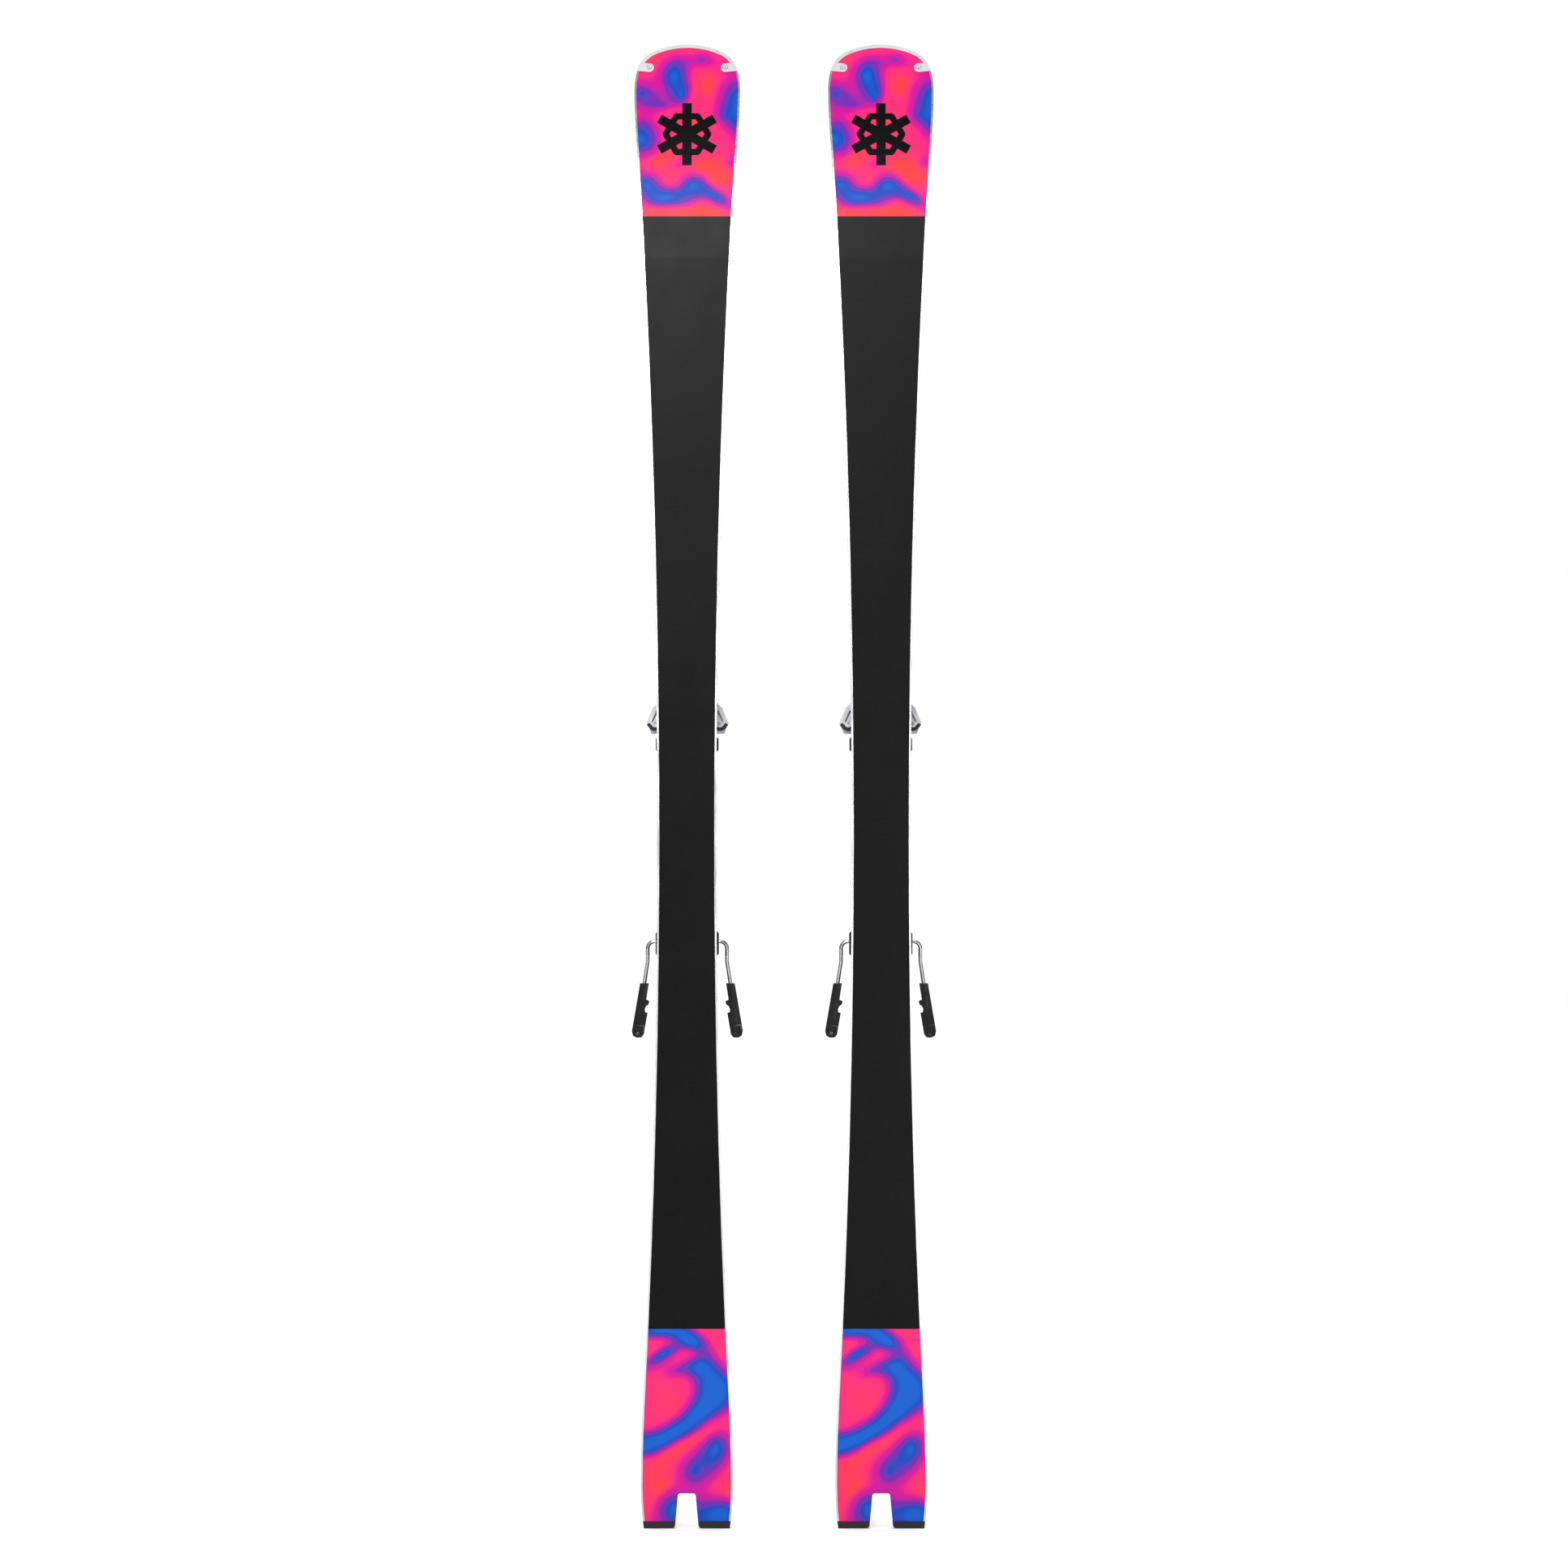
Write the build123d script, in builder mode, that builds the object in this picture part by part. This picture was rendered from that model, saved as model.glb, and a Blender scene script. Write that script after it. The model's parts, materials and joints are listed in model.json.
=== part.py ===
from build123d import *
import math
import os

os.makedirs("parts", exist_ok=True)

# A pair of alpine skis standing on their tails, bases towards -Y, with their bindings behind them (+Y).
# Each ski is modelled about its own centre line: X across, Y from the running base up through the binding,
# Z from the tail end to the tip. The pair is made by placing every piece at the two centre lines.

# ---------------------------------------------------------------- driving dimensions, mm
SKI_X = {"left": -111.0, "right": 111.0}
LENGTH = 1700.0
TIP_WIDTH, WAIST_WIDTH, TAIL_WIDTH = 121.0, 67.0, 105.2
TAIL_END_WIDTH = 98.4
TIP_WIDE_Z, WAIST_Z, TAIL_WIDE_Z = 1646.0, 790.0, 49.0
CAMBER = 3.0
WAIST_THICK = 14.0
MOUNT_Z = (540.0, 1020.0)  # the stretch under the binding, straight and of even thickness

EDGE_WIDTH = 2.1
BASE_SHEET = 1.3
LAMINATE = 0.8
TOPSHEET = 1.0
TOP_INSET = 1.2
RIM = 4.0  # width of the tip protector's rim, and of the sidewalls
RIM_END_Z = 1669.0
TONGUE_Z, TONGUE_END_X, TONGUE_THICK = 1672.6, 38.3, 1.4
TIP_SCREW_X = 43.4
TAIL_CAP = 7.9
NOTCH_TOP, NOTCH_MOUTH, NOTCH_DEPTH = 19.9, 27.3, 39.8
INLAY_TAIL_Z, INLAY_TIP_Z = 227.8, 1497.5
EMBLEM_Z, EMBLEM_SIZE = 1593.0, 73.0

SKI_TOP = CAMBER + WAIST_THICK
PLATE_TOP = SKI_TOP + 10.0
SOLE = 46.0  # height that the boot sole rests at
BOOT_HEEL_Z = 599.0  # back of the boot sole
RUN = 0.3  # gap kept between pieces that move past each other
PIN_R, PIN_FIT = 3.0, 0.06

TOE_SIDE, TOE_FRAME_Z = 35.9, (885.9, 904.1)
WING_PIN = (17.0, 949.0)
WING_BOSS = (36.4, 919.1)
WING_Y = (SOLE, 66.0)
TOE_AXIS_Y = 56.0
TOE_BORE_R = 9.8

RAIL_Z = (486.0, 642.0)
HEEL_HALF = 19.0
HEEL_Z = (498.0, 640.0)
HEEL_PIVOT = (50.0, 565.0)  # height and place along the ski
HEEL_ROUND = 26.0
HEEL_AXIS_Y = 58.0
HEEL_BORE_R = 10.2
CHEEK = 5.0
LEVER_REACH = (71.0, 79.0)
LEVER_ANGLE = 135.0

BRAKE_PIVOT = (38.0, 668.8)
BRAKE_SIDE, BRAKE_Z = 36.2, (651.8, 681.2)
WIRE_R = 2.2
ARM_X = 45.5
FOOT_Y = 44.0

# ---------------------------------------------------------------- side view of the ski
# Stations along the ski: distance from the tail end, height of the running base, thickness.
TAIL_TURN = (-8.0, 5.5, 6.9)
TAIL_CONTACT = (110.0, 0.0, 8.0)
MOUNT_REAR = (MOUNT_Z[0], CAMBER, WAIST_THICK)
MOUNT_FRONT = (MOUNT_Z[1], CAMBER, WAIST_THICK)
TIP_CONTACT = (1450.0, 0.0, 8.0)
TIP_TURN = (1715.0, 55.0, 5.6)
TIP_RUN = TIP_TURN[0] - TIP_CONTACT[0]
TIP_RADIUS = (TIP_RUN**2 + TIP_TURN[1] ** 2) / (2 * TIP_TURN[1])
TONGUE_SLOPE = math.asin((TONGUE_Z - TIP_CONTACT[0]) / TIP_RADIUS)
TONGUE_Y = TIP_RADIUS * (1 - math.cos(TONGUE_SLOPE))
REACH = 200.0  # further than any part of a ski from its own axes


def plan(height):
    """A plane seen from the base side, at a height above the ski's zero level."""
    return Plane.XZ.offset(-height)


def save(name, part):
    for side, x in SKI_X.items():
        placed = part.moved(Location((x, 0, 0)))
        placed.label = f"{side}_{name}"
        export_step(placed, f"parts/{side}_{name}.step")


def from_base(depth):
    return lambda base, thick: base + depth


def from_top(depth):
    return lambda base, thick: base + thick - depth


def draw_level(level):
    """Draws one level of the ski's side view, and returns its tail end and its tip end."""
    tail_end, tail, rear, front, tip, tip_end = (
        Vector(level(base, thick), z)
        for z, base, thick in (TAIL_TURN, TAIL_CONTACT, MOUNT_REAR, MOUNT_FRONT, TIP_CONTACT, TIP_TURN)
    )
    TangentArc(tail, tail_end, tangent=(0, -1))
    # between each contact point and the straight stretch the level bends one way and then the other
    for contact, straight in ((tail, rear), (tip, front)):
        turn = (contact + straight) / 2
        TangentArc(contact, turn, tangent=(0, straight.Y - contact.Y))
        TangentArc(straight, turn, tangent=(0, contact.Y - straight.Y))
    Line(rear, front)
    TangentArc(tip, tip_end, tangent=(0, 1))
    return tail_end, tip_end


def layer(low, high, outline):
    """The part of the ski between two levels of its side view, inside an outline seen from the base."""
    with BuildPart() as solid:
        with BuildSketch(Plane.YZ):
            with BuildLine():
                low_tail, low_tip = draw_level(low)
                high_tail, high_tip = draw_level(high)
                Line(low_tail, high_tail)
                Line(low_tip, high_tip)
            make_face()
        extrude(amount=REACH, both=True)
        with BuildSketch(plan(-REACH)):
            add(outline)
        extrude(amount=-2 * REACH, mode=Mode.INTERSECT)
    return solid.part


# ---------------------------------------------------------------- outlines seen from the base
# Each chain of arcs starts at the waist and runs on tangent to the one before.
TAIL_SIDE = [(50.27, 140), (TAIL_WIDTH / 2, TAIL_WIDE_Z), (TAIL_END_WIDTH / 2, 0)]
TIP_SIDE = [(59.36, 1610), (TIP_WIDTH / 2, TIP_WIDE_Z), (57.4, 1669.3), (37.93, 1692), (0, LENGTH)]

with BuildSketch() as footprint:
    with BuildLine():
        for chain, heading in ((TAIL_SIDE, (0, -1)), (TIP_SIDE, (0, 1))):
            start = (WAIST_WIDTH / 2, WAIST_Z)
            for end in chain:
                arc = TangentArc(start, end, tangent=heading)
                start, heading = arc @ 1, arc % 1
        Line((0, 0), (TAIL_END_WIDTH / 2, 0))
        mirror(about=Plane.YZ)
    make_face()

with BuildSketch() as notch:
    with BuildLine():
        Polyline(
            (-NOTCH_MOUTH / 2, -1),
            (-NOTCH_TOP / 2, NOTCH_DEPTH),
            (NOTCH_TOP / 2, NOTCH_DEPTH),
            (NOTCH_MOUTH / 2, -1),
            close=True,
        )
    make_face()
    fillet(notch.vertices().group_by(Axis.Y)[-1], radius=3)


def inset(amount):
    with BuildSketch() as smaller:
        offset(footprint.sketch, amount=-amount)
    return smaller.sketch


def between(outer, inner, low_z, high_z):
    """The band between two outlines, kept between two places along the ski."""
    with BuildSketch() as band:
        add(outer)
        if inner:
            add(inner, mode=Mode.SUBTRACT)
        with Locations((0, (low_z + high_z) / 2)):
            Rectangle(REACH, high_z - low_z, mode=Mode.INTERSECT)
        add(notch.sketch, mode=Mode.SUBTRACT)
    return band.sketch


edge_line = inset(EDGE_WIDTH)
rim_line = inset(RIM)
rim_band = between(footprint.sketch, rim_line, RIM_END_Z, LENGTH + 1)


def sheet(outline, low_z, high_z):
    """An outline cut off at two places along the ski, and cut back to the tip protector's rim."""
    with BuildSketch() as area:
        add(between(outline, None, low_z, high_z))
        if high_z > RIM_END_Z:
            add(rim_band, mode=Mode.SUBTRACT)
    return area.sketch


with BuildSketch() as emblem:
    for turn in (0, 60, 120):
        with Locations(Location((0, EMBLEM_Z, 0), turn)):
            Rectangle(11, EMBLEM_SIZE)
            with Locations((0, 21), (0, -21)):
                Rectangle(27, 7.5)

# ---------------------------------------------------------------- ski: base, edges, laminates, core
with BuildPart() as base_running:
    add(layer(from_base(0), from_base(BASE_SHEET), sheet(edge_line, INLAY_TAIL_Z, INLAY_TIP_Z)))
    add(layer(from_base(0), from_base(BASE_SHEET), emblem.sketch))
save("base_running", base_running.part)

with BuildSketch() as shovel_print:
    add(sheet(edge_line, INLAY_TIP_Z, LENGTH + 1))
    add(emblem.sketch, mode=Mode.SUBTRACT)
with BuildPart() as base_inlays:
    add(layer(from_base(0), from_base(BASE_SHEET), shovel_print.sketch))
    add(layer(from_base(0), from_base(BASE_SHEET), sheet(edge_line, TAIL_CAP, INLAY_TAIL_Z)))
save("base_inlays", base_inlays.part)

edge_band = between(footprint.sketch, edge_line, TAIL_CAP, RIM_END_Z)
with BuildPart() as steel_edges:
    add(layer(from_base(0), from_base(BASE_SHEET + LAMINATE), edge_band))
save("steel_edges", steel_edges.part)

with BuildPart() as laminates:
    add(
        layer(
            from_base(BASE_SHEET),
            from_base(BASE_SHEET + LAMINATE),
            sheet(edge_line, TAIL_CAP, LENGTH + 1),
        )
    )
    add(
        layer(
            from_top(TOPSHEET + LAMINATE),
            from_top(TOPSHEET),
            sheet(inset(TOP_INSET), TAIL_CAP, LENGTH + 1),
        )
    )
save("laminates", laminates.part)

with BuildPart() as wood_core:
    add(
        layer(
            from_base(BASE_SHEET + LAMINATE),
            from_top(TOPSHEET + LAMINATE),
            sheet(rim_line, TAIL_CAP, LENGTH + 1),
        )
    )
save("wood_core", wood_core.part)

wall_band = between(footprint.sketch, rim_line, TAIL_CAP, RIM_END_Z)
with BuildPart() as sidewalls:
    add(layer(from_base(BASE_SHEET + LAMINATE), from_top(TOPSHEET + LAMINATE), wall_band))
save("sidewalls", sidewalls.part)

with BuildPart() as topsheet:
    add(layer(from_top(TOPSHEET), from_top(0), sheet(inset(TOP_INSET), TAIL_CAP, LENGTH + 1)))
save("topsheet", topsheet.part)

# ---------------------------------------------------------------- tip protector and tail caps
RIM_NOTCHES = [(12.2, LENGTH - 0.6, 0), (34.8, 1692.8, 22), (49.5, 1684.2, 42)]
with BuildSketch() as rim:
    add(rim_band)
    for x, z, turn in RIM_NOTCHES:
        for way in (-1, 1):
            with Locations(Location((way * x, z, 0), -way * turn)):
                Rectangle(1.7, 3.6, mode=Mode.SUBTRACT)
with BuildSketch() as tongues:
    for way in (-1, 1):
        with Locations((way * (TONGUE_END_X + 12), TONGUE_Z)):
            SlotOverall(24, 10.2, rotation=way * 5)
    add(footprint.sketch, mode=Mode.INTERSECT)
LIP = 1.2
with BuildPart() as tip_protector:
    add(layer(from_base(-0.6), from_top(-LIP), rim.sketch))
    add(layer(from_top(0), from_top(-LIP), between(footprint.sketch, inset(10), RIM_END_Z, LENGTH + 1)))
    add(layer(from_base(-TONGUE_THICK), from_base(0), tongues.sketch))
    tongue_faces = [
        Plane(
            origin=(way * TIP_SCREW_X, TONGUE_Y, TONGUE_Z),
            x_dir=(1, 0, 0),
            z_dir=(0, -math.cos(TONGUE_SLOPE), math.sin(TONGUE_SLOPE)),
        )
        for way in (-1, 1)
    ]
    TIP_HEAD_R = 3.3
    for face in tongue_faces:
        with BuildSketch(face):
            Circle(TIP_HEAD_R)
        extrude(amount=4, mode=Mode.SUBTRACT)
save("tip_protector", tip_protector.part)

with BuildSketch() as caps:
    add(footprint.sketch)
    with Locations((0, TAIL_CAP / 2)):
        Rectangle(REACH, TAIL_CAP, mode=Mode.INTERSECT)
    add(notch.sketch, mode=Mode.SUBTRACT)
    inner_corners = [v for v in caps.vertices() if v.Y < 1 and abs(v.X) < NOTCH_MOUTH]
    fillet(inner_corners, radius=3.7)
with BuildPart() as tail_caps:
    add(layer(from_base(-0.4), from_top(-0.6), caps.sketch))
save("tail_caps", tail_caps.part)

# ---------------------------------------------------------------- screws
PLATE_SCREW_X = 19.0
PLATE_SCREW_Z = [522.0, 712.0, 868.0, 1018.0]
PLATE_Z = (500.0, 1034.0)
SCREW_R, SCREW_HEAD_R, SCREW_HEAD = 2.75, 4.8, 2.6
plate_screw_places = [(way * PLATE_SCREW_X, z) for way in (-1, 1) for z in PLATE_SCREW_Z]

with BuildPart() as screws:
    for face in tongue_faces:
        with BuildSketch(face):
            Circle(TIP_HEAD_R - 0.1)
        extrude(amount=TONGUE_THICK + 0.5)
        with BuildSketch(face):
            Circle(1.6)
        extrude(amount=-3.6)
        with BuildSketch(face.offset(TONGUE_THICK + 0.5)):
            Rectangle(3.8, 0.9)
            Rectangle(0.9, 3.8)
        extrude(amount=-1, mode=Mode.SUBTRACT)
    for x, z in plate_screw_places:
        with BuildSketch(Plane((x, PLATE_TOP, z), x_dir=(1, 0, 0), z_dir=(0, 1, 0))):
            Circle(SCREW_HEAD_R - 0.1)
        extrude(amount=-SCREW_HEAD, taper=42)
        with BuildSketch(Plane((x, PLATE_TOP - 1, z), x_dir=(1, 0, 0), z_dir=(0, 1, 0))):
            Circle(SCREW_R)
        extrude(amount=-17)
        with BuildSketch(Plane((x, PLATE_TOP, z), x_dir=(1, 0, 0), z_dir=(0, 1, 0))):
            Rectangle(5.6, 1.2)
            Rectangle(1.2, 5.6)
        extrude(amount=-1.4, mode=Mode.SUBTRACT)
save("screws", screws.part)

# ---------------------------------------------------------------- binding plate
PLATE_HALF, STEP_HALF = 29.0, 24.5
RAIL_NECK, RAIL_HALF = 14.0, 18.0
RAIL_Y = (PLATE_TOP, PLATE_TOP + 2.0, PLATE_TOP + 5.0)
plate_mid = (PLATE_Z[0] + PLATE_Z[1]) / 2
plate_long = PLATE_Z[1] - PLATE_Z[0]

with BuildPart() as binding_plate:
    with BuildSketch(plan(SKI_TOP)):
        with Locations((0, plate_mid)):
            RectangleRounded(2 * PLATE_HALF, plate_long, 10)
    extrude(amount=-6)
    with BuildSketch(plan(SKI_TOP + 6)):
        with Locations((0, plate_mid)):
            RectangleRounded(2 * STEP_HALF, plate_long - 6, 8)
    extrude(amount=-4)
    rail_mid, rail_long = (RAIL_Z[0] + 16 + RAIL_Z[1]) / 2, RAIL_Z[1] - RAIL_Z[0] - 16
    for half, low, high in ((RAIL_NECK, RAIL_Y[0], RAIL_Y[1]), (RAIL_HALF, RAIL_Y[1], RAIL_Y[2])):
        with BuildSketch(plan(low)):
            with Locations((0, rail_mid)):
                Rectangle(2 * half, rail_long)
        extrude(amount=low - high)
    # relief windows in the free stretch between the brake and the toe, which let the plate flex
    with BuildSketch(plan(SKI_TOP)):
        with Locations((0, 752), (0, 828)):
            RectangleRounded(22, 54, 8)
    extrude(amount=-12, mode=Mode.SUBTRACT)
    # grip ribs under the boot's instep
    with BuildSketch(plan(PLATE_TOP)):
        with Locations((0, 790)):
            with GridLocations(0, 8, 1, 3):
                SlotOverall(40, 3)
    extrude(amount=-1.2)
    for x, z in plate_screw_places:
        with Locations(Plane((x, PLATE_TOP, z), x_dir=(1, 0, 0), z_dir=(0, 1, 0))):
            CounterSinkHole(SCREW_R + 0.15, SCREW_HEAD_R, depth=11, counter_sink_angle=84)
save("binding_plate", binding_plate.part)

# ---------------------------------------------------------------- toe piece
FOOT_TOP = PLATE_TOP + 6.0
FRAME_TOP = 40.4
TOE_Z = (934.0, 1004.0)
TOE_SECTIONS = [
    # place along the ski, half-width, lowest, highest, corner radius
    (TOE_Z[0], 24, PLATE_TOP, 80, 6),
    (957, 25, PLATE_TOP, 88, 10),
    (984, 21, PLATE_TOP, 82, 13),
    (TOE_Z[1], 15.5, PLATE_TOP + 6, 69, 12),
]
WING_FLOOR, WING_ROOF = WING_Y[0] - RUN, WING_Y[1] + RUN
WING_HUB_R = 7.5
POCKET_HALF, POCKET_LONG, POCKET_Z = 20.0, 34.0, 945.0
TOE_FOOT_HALF, TOE_FOOT_Z = 27.0, (880.0, 998.0)
PIN_Y = (38.0, 74.0)
AFD_RIB_HALF, AFD_RIB_LONG, AFD_TRAVEL = 12.0, 7.0, 8.0

with BuildPart() as toe_shell:
    for z, half, low, high, corner in TOE_SECTIONS:
        with BuildSketch(Plane.XY.offset(z)):
            with Locations((0, (low + high) / 2)):
                RectangleRounded(2 * half, high - low, corner)
    loft()

with BuildPart() as toe_housing:
    with BuildSketch(plan(PLATE_TOP)):
        with Locations((0, sum(TOE_FOOT_Z) / 2)):
            RectangleRounded(2 * TOE_FOOT_HALF, TOE_FOOT_Z[1] - TOE_FOOT_Z[0], 5)
    extrude(amount=PLATE_TOP - FOOT_TOP)
    # frame of the anti-friction plate, standing out past the ski on both sides
    with BuildSketch(plan(PLATE_TOP)) as frame_outline:
        with Locations((0, sum(TOE_FRAME_Z) / 2)):
            Rectangle(2 * TOE_SIDE, TOE_FRAME_Z[1] - TOE_FRAME_Z[0])
        chamfer(frame_outline.vertices(), length=2.6)
    extrude(amount=PLATE_TOP - FRAME_TOP)
    add(toe_shell.part)
    # nothing of the shell reaches below the plate's top
    with BuildSketch(plan(PLATE_TOP)):
        with Locations((0, sum(TOE_Z) / 2)):
            Rectangle(80, 90)
    extrude(amount=20, mode=Mode.SUBTRACT)
    # pockets that the two wings swing in
    for way in (-1, 1):
        with BuildSketch(plan(WING_FLOOR)):
            with Locations((way * (WING_PIN[0] + POCKET_HALF - WING_HUB_R - 0.5), POCKET_Z)):
                Rectangle(2 * POCKET_HALF, POCKET_LONG)
        extrude(amount=WING_FLOOR - WING_ROOF, mode=Mode.SUBTRACT)
        with BuildSketch(plan(PIN_Y[0])):
            with Locations((way * WING_PIN[0], WING_PIN[1])):
                Circle(PIN_R)
        extrude(amount=PIN_Y[0] - PIN_Y[1], mode=Mode.SUBTRACT)
    # spring bore, open at the front for the release screw
    with BuildSketch(Plane.XY.offset(966)):
        with Locations((0, TOE_AXIS_Y)):
            Circle(TOE_BORE_R)
    extrude(amount=60, mode=Mode.SUBTRACT)
    # slot for the rib of the sliding plate
    with BuildSketch(plan(FRAME_TOP - 5)):
        with Locations((0, sum(TOE_FRAME_Z) / 2)):
            Rectangle(2 * (AFD_RIB_HALF + AFD_TRAVEL + 1), AFD_RIB_LONG + 2 * RUN)
    extrude(amount=-6, mode=Mode.SUBTRACT)
save("toe_housing", toe_housing.part)

with BuildPart() as wing_pins:
    for way in (-1, 1):
        with BuildSketch(plan(PIN_Y[0])):
            with Locations((way * WING_PIN[0], WING_PIN[1])):
                Circle(PIN_R)
        extrude(amount=PIN_Y[0] - PIN_Y[1])
save("wing_pins", wing_pins.part)

with BuildSketch() as pad_outline:
    with BuildLine() as pad_line:
        bend = ThreePointArc((41.2, 913.9), (36.6, 912.7), (31.5, 915.2))
        Line(bend @ 0, (45.3, 918.9))
    trace(pad_line.line, line_width=4)

with BuildSketch() as wing_outline:
    with BuildLine():
        Polyline(
            (17, 956.5),
            (31, 948),
            (35.6, 941),
            (39.8, 937.3),
            (41.6, 932.7),
            (47.3, 919.6),
            (45.2, 915.5),
            (33, 911.5),
            (29.6, 918),
            (24, 935),
            (12, 943),
            close=True,
        )
    make_face()
    with Locations(WING_PIN):
        Circle(WING_HUB_R)
    with Locations(WING_BOSS):
        Circle(6)
    # everything on the boot's side of the pad belongs to the pad
    add(pad_outline.sketch, mode=Mode.SUBTRACT)
    with BuildLine():
        Polyline((47.5, 918.2), (43, 912.5), (36.6, 911.2), (29.5, 914), (25, 905), (50, 905), close=True)
    make_face(mode=Mode.SUBTRACT)

for wing_name, way in (("l", -1), ("r", 1)):
    with BuildPart() as toe_wing:
        with BuildSketch(plan(WING_Y[0])):
            add(wing_outline.sketch)
        extrude(amount=WING_Y[0] - WING_Y[1])
        # roof over the boot's toe lip
        with BuildSketch(plan(WING_Y[1])):
            with BuildLine():
                Polyline(
                    (27, 929),
                    (42.5, 929),
                    (46.5, 919),
                    (42, 907.5),
                    (30, 907.5),
                    (26, 916),
                    close=True,
                )
            make_face()
        extrude(amount=-4.5)
        with BuildSketch(plan(WING_Y[0])):
            with Locations(WING_PIN):
                Circle(PIN_R + PIN_FIT)
        extrude(amount=-(WING_Y[1] - WING_Y[0] + 1), mode=Mode.SUBTRACT)
        # pin dimple in the boss, and the step beside the outer blade
        with BuildSketch(plan(WING_Y[0])):
            with Locations(WING_BOSS):
                Circle(1.2)
        extrude(amount=-3, mode=Mode.SUBTRACT)
        with BuildSketch(plan(WING_Y[0])):
            with BuildLine():
                Polyline((33.2, 934), (35.6, 934), (41.4, 921.4), (39.4, 921.2), close=True)
            make_face()
        extrude(amount=-9, mode=Mode.SUBTRACT)
        if way < 0:
            mirror(about=Plane.YZ, mode=Mode.REPLACE)
    save(f"toe_wing_{wing_name}", toe_wing.part)

    with BuildPart() as wing_pad:
        with BuildSketch(plan(WING_Y[0] + 0.5)):
            add(pad_outline.sketch)
        extrude(amount=-(WING_Y[1] - WING_Y[0] - 0.5))
        if way < 0:
            mirror(about=Plane.YZ, mode=Mode.REPLACE)
    save(f"wing_pad_{wing_name}", wing_pad.part)


def coil_spring(low_z, high_z, height, outer_r, wire_r, turns):
    """A compression spring along the ski."""
    coil = Helix((high_z - low_z - 2 * wire_r) / turns, high_z - low_z - 2 * wire_r, outer_r - wire_r)
    coil = coil.moved(Location((0, height, low_z + wire_r)))
    with BuildPart() as spring:
        with BuildSketch(Plane(origin=coil @ 0, z_dir=coil % 0)):
            Circle(wire_r)
        sweep(path=coil)
    return spring.part


SLOT_DEEP = 2.4


def release_screw(low_z, high_z, height, radius, slot_z):
    """The adjusting screw of a release spring, with a slot across its outer end."""
    with BuildPart() as screw:
        with BuildSketch(Plane.XY.offset(low_z)):
            with Locations((0, height)):
                Circle(radius)
        extrude(amount=high_z - low_z)
        chamfer(screw.edges().filter_by(GeomType.CIRCLE), length=0.8)
        with BuildSketch(Plane.XY.offset(slot_z)):
            with Locations((0, height)):
                Rectangle(2 * radius + 2, 2.4)
        extrude(amount=SLOT_DEEP, both=True, mode=Mode.SUBTRACT)
    return screw.part


save("toe_spring", coil_spring(968, 995, TOE_AXIS_Y, TOE_BORE_R - 0.4, 1.5, 6))
TOE_SCREW_Z = (996.0, 1007.0)
toe_screw = release_screw(*TOE_SCREW_Z, TOE_AXIS_Y, TOE_BORE_R - PIN_FIT, TOE_SCREW_Z[1])
save("toe_release_screw", toe_screw)

with BuildPart() as afd:
    with BuildSketch(plan(FRAME_TOP + RUN)):
        with Locations((0, sum(TOE_FRAME_Z) / 2)):
            RectangleRounded(58, 26, 4)
    extrude(amount=-(SOLE - FRAME_TOP - RUN - 1))
    with BuildSketch(plan(SOLE - 1)):
        with Locations((0, sum(TOE_FRAME_Z) / 2)):
            with GridLocations(0, 4.4, 1, 5):
                SlotOverall(50, 2.6)
    extrude(amount=-1)
    with BuildSketch(plan(FRAME_TOP - 5 + RUN)):
        with Locations((0, sum(TOE_FRAME_Z) / 2)):
            Rectangle(2 * AFD_RIB_HALF, AFD_RIB_LONG)
    extrude(amount=-5)
save("afd", afd.part)

# ---------------------------------------------------------------- heel piece
FOOT_HALF = 26.0
FOOT_LOW, HEEL_FOOT_TOP = PLATE_TOP + 0.3, 38.0
PIN_IN_X = 12.0  # inner ends of the two heel pins
pivot_y, pivot_z = HEEL_PIVOT

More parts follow.
